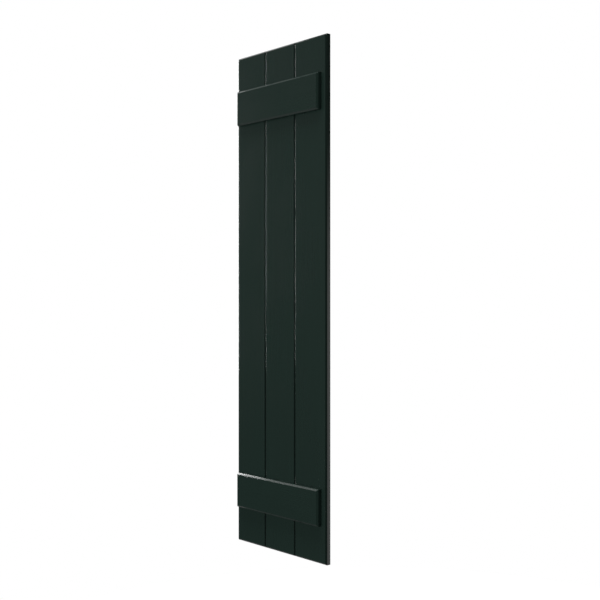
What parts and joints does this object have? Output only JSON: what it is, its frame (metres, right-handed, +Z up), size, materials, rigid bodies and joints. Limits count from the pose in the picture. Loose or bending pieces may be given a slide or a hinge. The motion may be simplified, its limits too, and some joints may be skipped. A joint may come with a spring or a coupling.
{
  "type": "board and batten shutter",
  "caption": "Tall narrow window shutter: bevelled upright boards joined edge to edge in V grooves, with a bevelled cross batten on the front near each end, painted dark green.",
  "frame": {"origin": "centre of the flat back, on the plane that meets the wall", "axes": "+Z up along the boards, +X across the boards to the right as seen from the front, +Y into the wall; the front faces -Y"},
  "size_m": [0.273, 0.023, 1.041],
  "materials": {
    "green_paint": "smooth satin exterior paint"
  },
  "bodies": {
    "root": {"left_board": "green_paint", "middle_board": "green_paint", "right_board": "green_paint", "top_batten": "green_paint", "bottom_batten": "green_paint"}
  },
  "joints": []
}
